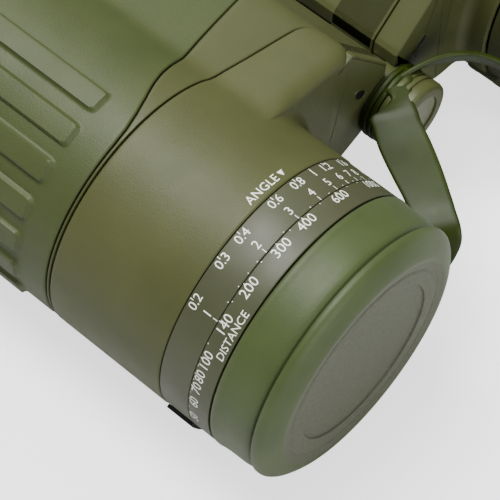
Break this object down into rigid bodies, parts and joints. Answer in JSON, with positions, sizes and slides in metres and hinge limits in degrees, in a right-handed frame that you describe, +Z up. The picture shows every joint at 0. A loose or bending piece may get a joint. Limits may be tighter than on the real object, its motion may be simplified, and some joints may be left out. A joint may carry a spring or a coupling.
{
  "type": "ranging binoculars",
  "caption": "Rubber-armoured prism binoculars with a ranging ring, capped objectives tied to the hinge, individual eyepiece focus and a folding hinge.",
  "frame": {"origin": "on the hinge axis, level with the tripod socket mouth; the optical axes lie 2.2 mm above", "axes": "Y along the optical axes, objectives towards -Y and eyepieces towards +Y; Z up; +X towards the user's left barrel"},
  "size_m": [0.1962, 0.1768, 0.063],
  "materials": {
    "housing_paint": "fine textured olive enamel",
    "body_armour": "matt olive rubber with a fine grain",
    "cap_rubber": "soft olive rubber, finely grained on its face",
    "strap_rubber": "soft olive rubber, satin",
    "grip_rubber": "ribbed dark olive rubber",
    "ring_plastic": "olive grey plastic with white filled figures",
    "cover_plastic": "olive plastic with a knurled rim",
    "window_plastic": "black smoked plastic",
    "black_metal": "matt black",
    "focus_rubber": "black grooved rubber",
    "eyecup_rubber": "soft black rubber",
    "black_rubber": "black rubber",
    "lens_glass": "coated optical glass",
    "prism_glass": "polished optical glass",
    "axle_steel": "turned stainless steel",
    "screw_steel": "blackened steel",
    "hinge_brass": "turned"
  },
  "bodies": {
    "right_barrel": {"right_housing": "housing_paint", "right_front_armour": "body_armour", "right_rear_armour": "body_armour", "right_objective_cell": "black_metal", "right_objective_crown": "lens_glass", "right_objective_flint": "lens_glass", "right_lens_o_ring": "black_rubber", "right_lens_retainer": "black_metal", "right_prism_shelf": "black_metal", "right_prisms": "prism_glass", "right_rear_cover": "black_metal", "right_cover_screws": "screw_steel", "right_strap_lug": "housing_paint", "right_cap_tether": "strap_rubber", "distance_ring": "ring_plastic", "reticle_disc": "lens_glass", "hinge_axle": "axle_steel", "hinge_washers": "hinge_brass", "tripod_socket": "axle_steel", "hinge_end_cap": "black_metal"},
    "left_barrel": {"left_housing": "housing_paint", "left_front_armour": "body_armour", "left_rear_armour": "body_armour", "left_objective_cell": "black_metal", "left_objective_crown": "lens_glass", "left_objective_flint": "lens_glass", "left_lens_o_ring": "black_rubber", "left_lens_retainer": "black_metal", "left_prism_shelf": "black_metal", "left_prisms": "prism_glass", "left_rear_cover": "black_metal", "left_cover_screws": "screw_steel", "left_strap_lug": "housing_paint", "left_cap_tether": "strap_rubber", "left_grip_ring": "grip_rubber", "left_window_frame": "ring_plastic", "left_window": "window_plastic", "left_hinge_bushes": "hinge_brass"},
    "angle_dial": {"angle_ring": "ring_plastic", "angle_ring_pad": "black_rubber"},
    "right_focus": {"right_focus_ring": "focus_rubber"},
    "left_focus": {"left_focus_ring": "focus_rubber"},
    "right_eyepiece": {"right_eyepiece_slide": "black_metal", "right_field_lens": "lens_glass", "right_eye_lens": "lens_glass", "right_eyecup": "eyecup_rubber"},
    "left_eyepiece": {"left_eyepiece_slide": "black_metal", "left_field_lens": "lens_glass", "left_eye_lens": "lens_glass", "left_eyecup": "eyecup_rubber"},
    "right_cap": {"right_objective_cap": "cap_rubber"},
    "left_cap": {"left_objective_cap": "cap_rubber"},
    "cover": {"socket_cover": "cover_plastic"}
  },
  "joints": [
    {"name": "fold", "type": "hinge", "parent": "right_barrel", "child": "left_barrel", "pos_m": [0, 0, 0], "axis": [0, -1, 0], "range_deg": [-56, 8]},
    {"name": "angle_dial_turn", "type": "hinge", "parent": "right_barrel", "child": "angle_dial", "pos_m": [-0.0595, -0.013, 0.0022], "axis": [0, -1, 0], "continuous": true},
    {"name": "right_focus_turn", "type": "hinge", "parent": "right_barrel", "child": "right_focus", "pos_m": [-0.0365, 0.0972, 0.0022], "axis": [0, 1, 0], "range_deg": [-150.5, 150.5]},
    {"name": "right_eyepiece_travel", "type": "slide", "parent": "right_barrel", "child": "right_eyepiece", "axis": [0, 1, 0], "range_m": [-0.0025, 0.0025]},
    {"name": "right_cap_pull", "type": "slide", "parent": "right_barrel", "child": "right_cap", "axis": [0, -1, 0], "range_m": [0, 0.03], "deforming": ["right_cap_tether"]},
    {"name": "left_focus_turn", "type": "hinge", "parent": "left_barrel", "child": "left_focus", "pos_m": [0.0365, 0.0972, 0.0022], "axis": [0, 1, 0], "range_deg": [-150.5, 150.5]},
    {"name": "left_eyepiece_travel", "type": "slide", "parent": "left_barrel", "child": "left_eyepiece", "axis": [0, 1, 0], "range_m": [-0.0025, 0.0025]},
    {"name": "left_cap_pull", "type": "slide", "parent": "left_barrel", "child": "left_cap", "axis": [0, -1, 0], "range_m": [0, 0.03], "deforming": ["left_cap_tether"]},
    {"name": "socket_cover_pull", "type": "slide", "parent": "right_barrel", "child": "cover", "axis": [0, -1, 0], "range_m": [0, 0.03]}
  ],
  "couplings": [
    {"joint": "right_focus_turn", "follows": "right_eyepiece_travel", "rad_per_m": 1047.2},
    {"joint": "left_focus_turn", "follows": "left_eyepiece_travel", "rad_per_m": 1047.2}
  ]
}
